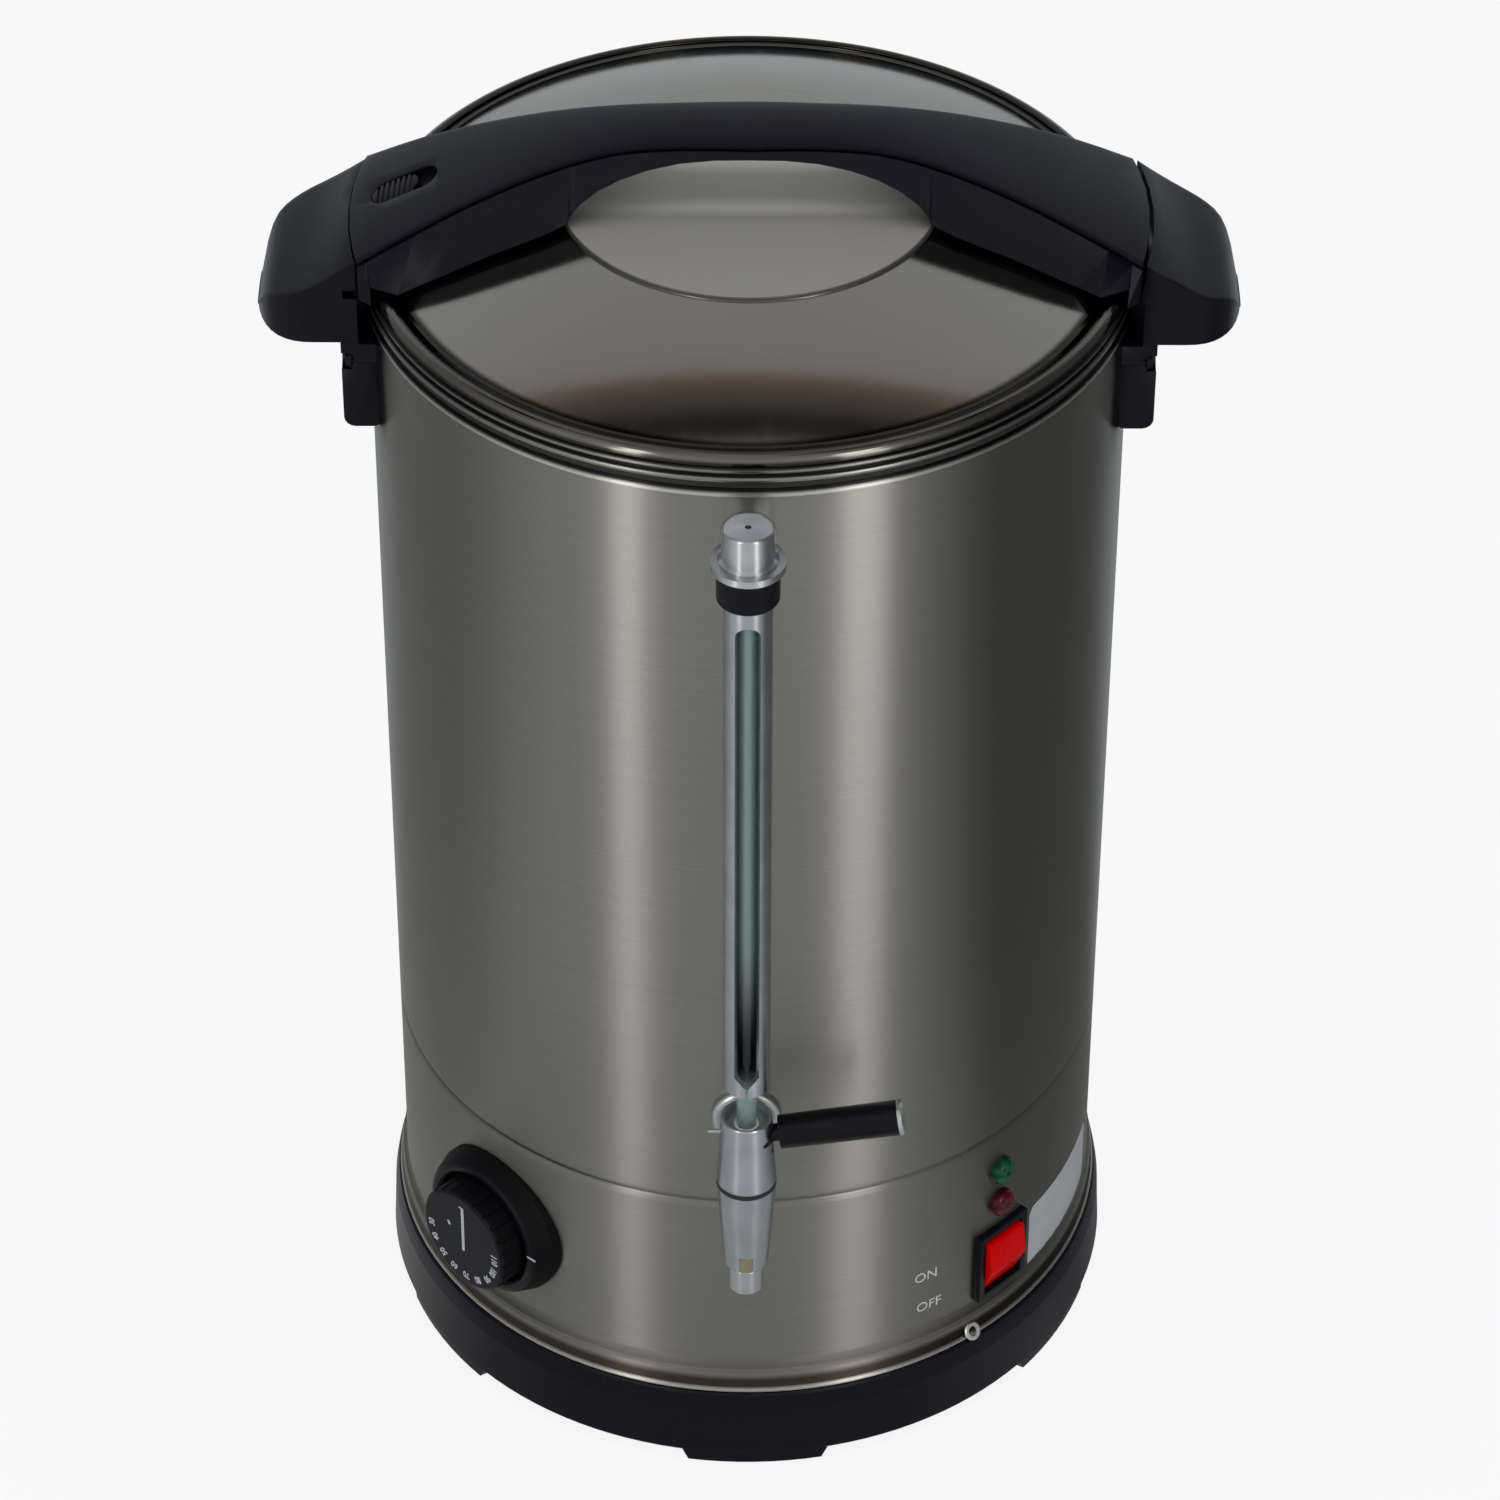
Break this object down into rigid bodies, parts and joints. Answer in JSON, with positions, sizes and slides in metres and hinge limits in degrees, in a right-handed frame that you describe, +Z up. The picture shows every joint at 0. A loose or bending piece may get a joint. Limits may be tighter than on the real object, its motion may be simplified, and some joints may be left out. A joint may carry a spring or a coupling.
{
  "type": "hot water urn",
  "caption": "Stainless steel hot water urn with a bridge-handled lid, two side handles, a sight glass over a lever tap, a temperature dial, a rocker switch and two lamps.",
  "frame": {"origin": "centre of the bounding box's bottom face, on the table; the body's axis stands 17 mm behind it at y = +0.017", "axes": "+Z up along the body; -Y is the front, where the tap is; +X is the tap lever's side"},
  "size_m": [0.3862, 0.3543, 0.5772],
  "materials": {
    "body_steel": "satin",
    "tank_steel": "satin",
    "lid_steel": "polished",
    "tap_metal": "satin",
    "bright_metal": "polished",
    "fastener_steel": "satin",
    "black_matte": "matte",
    "black_gloss": "gloss",
    "red_gloss": "gloss",
    "lens_green": "gloss",
    "lens_red": "gloss",
    "glass_tube": "gloss",
    "silicone": "matte",
    "gasket_rubber": "matte",
    "heater_metal": "matte",
    "element_sheath": "matte",
    "bulb_copper": "satin"
  },
  "bodies": {
    "urn": {"outer_shell": "body_steel", "inner_tank": "tank_steel", "tank_base": "tank_steel", "rim_gasket": "gasket_rubber", "base_ring": "black_matte", "base_plate": "fastener_steel", "base_screws": "fastener_steel", "heating_plate": "heater_metal", "heating_element": "element_sheath", "thermal_cutout": "black_gloss", "thermostat": "black_gloss", "thermostat_bulb": "bulb_copper", "terminal_block": "silicone", "cord_gland": "black_matte", "gland_nut": "black_matte", "dial_bezel": "black_matte", "switch_housing": "black_matte", "lamp_green": "lens_green", "lamp_red": "lens_red", "side_handle_left": "black_matte", "side_handle_right": "black_matte", "handle_screws": "fastener_steel", "tap_body": "tap_metal", "tap_washer": "bright_metal", "tap_seals": "silicone", "tap_nut": "fastener_steel", "tap_ring": "gasket_rubber", "tap_spout": "tap_metal", "lever_pin": "fastener_steel", "sight_glass": "glass_tube", "glass_seals": "silicone", "glass_guard": "tap_metal", "guard_collar": "black_matte", "top_fitting": "bright_metal", "top_nut": "fastener_steel", "vent_cap": "bright_metal"},
    "lid": {"lid_dome": "lid_steel", "lid_skirt": "tank_steel", "handle_base": "black_matte", "handle_cover": "black_matte", "handle_pads": "silicone", "lid_screws": "fastener_steel"},
    "lock": {"lock_slider": "black_matte"},
    "dial": {"dial_knob": "black_matte", "dial_shaft": "fastener_steel"},
    "rocker": {"switch_rocker": "red_gloss"},
    "lever": {"tap_lever": "black_gloss", "lever_grip": "black_gloss", "lever_cap": "bright_metal"},
    "valve": {"valve_stem": "fastener_steel", "valve_seal": "silicone"}
  },
  "joints": [
    {"name": "lid_lift", "type": "slide", "parent": "urn", "child": "lid", "axis": [0, 0, 1], "range_m": [0, 0.15]},
    {"name": "lock_slide", "type": "slide", "parent": "lid", "child": "lock", "axis": [0.9079, 0, 0.4191], "range_m": [0, 0.0082]},
    {"name": "dial_turn", "type": "hinge", "parent": "urn", "child": "dial", "pos_m": [-0.11214, -0.09712, 0.0975], "axis": [-0.7009, -0.7133, 0], "range_deg": [-60, 210]},
    {"name": "rocker_tilt", "type": "hinge", "parent": "urn", "child": "rocker", "pos_m": [0.10539, -0.08548, 0.075], "axis": [0.6972, 0.7169, 0], "range_deg": [-18, 0]},
    {"name": "lever_push", "type": "hinge", "parent": "urn", "child": "lever", "pos_m": [0.008, -0.163, 0.21284], "axis": [0, 1, 0], "range_deg": [0, 22], "stiffness_Nm_per_rad": 0.08, "springref_deg": -20.05},
    {"name": "valve_lift", "type": "slide", "parent": "urn", "child": "valve", "axis": [0, 0, 1], "range_m": [0, 0.0035]}
  ],
  "couplings": [
    {"joint": "valve_lift", "follows": "lever_push", "m_per_rad": 0.0089}
  ]
}
